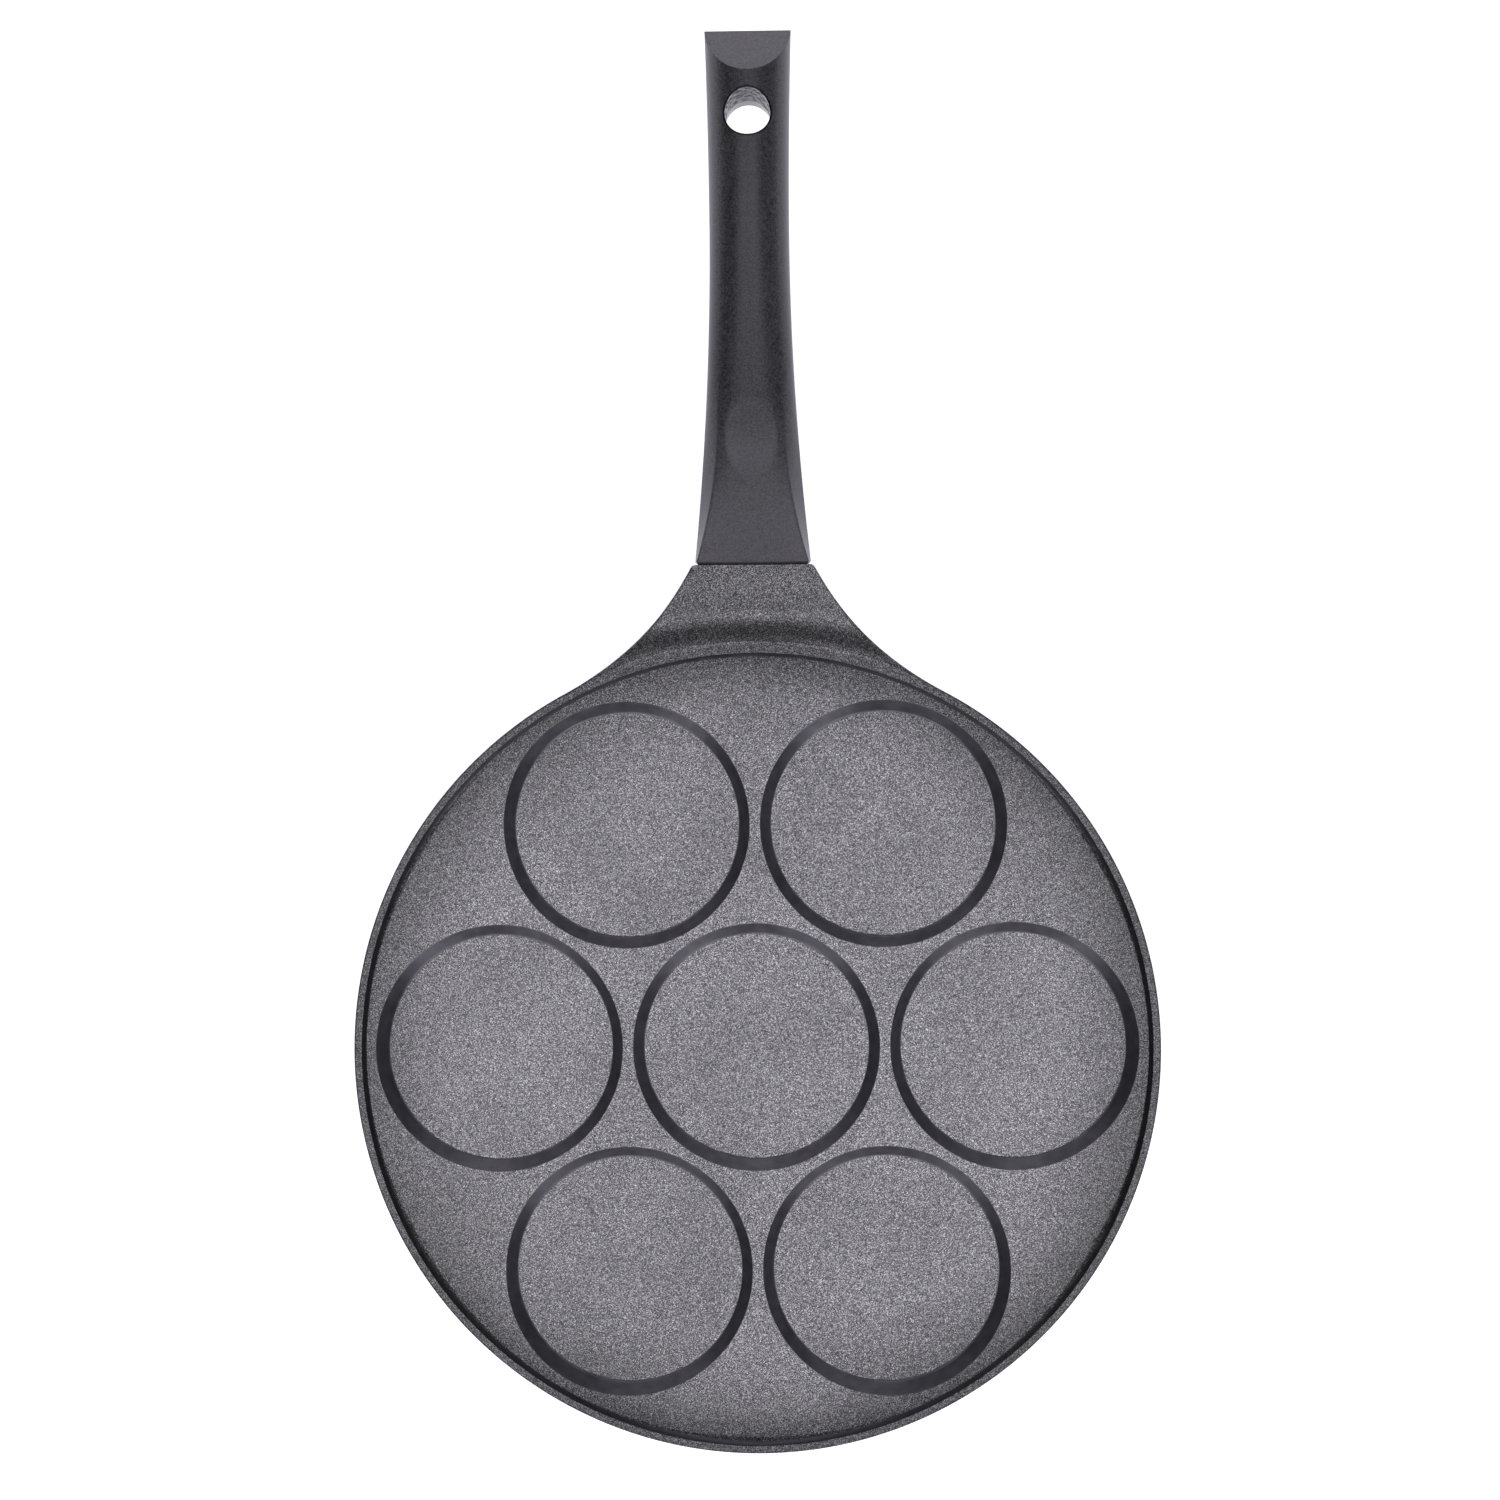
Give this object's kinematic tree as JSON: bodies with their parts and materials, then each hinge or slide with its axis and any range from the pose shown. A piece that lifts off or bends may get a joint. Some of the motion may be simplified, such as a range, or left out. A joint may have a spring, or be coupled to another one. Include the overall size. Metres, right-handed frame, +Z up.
{
  "type": "pancake pan",
  "caption": "Round cast pan with round moulds sunk in its floor, a flared neck and a slanting-ended moulded handle with a hang hole.",
  "frame": {"origin": "centre of the flat base, on the hob", "axes": "+Y from the pan's centre to the handle's tip, +Z up, +X to the right seen from above"},
  "size_m": [0.26, 0.4529, 0.0493],
  "materials": {
    "non_stick_coating": "matte",
    "black_phenolic": "matte",
    "zinc_plated_steel": "satin"
  },
  "bodies": {
    "root": {"pan_body": "non_stick_coating", "handle_grip": "black_phenolic", "handle_screw": "zinc_plated_steel", "flat_washer": "zinc_plated_steel", "spring_washer": "zinc_plated_steel"}
  },
  "joints": []
}
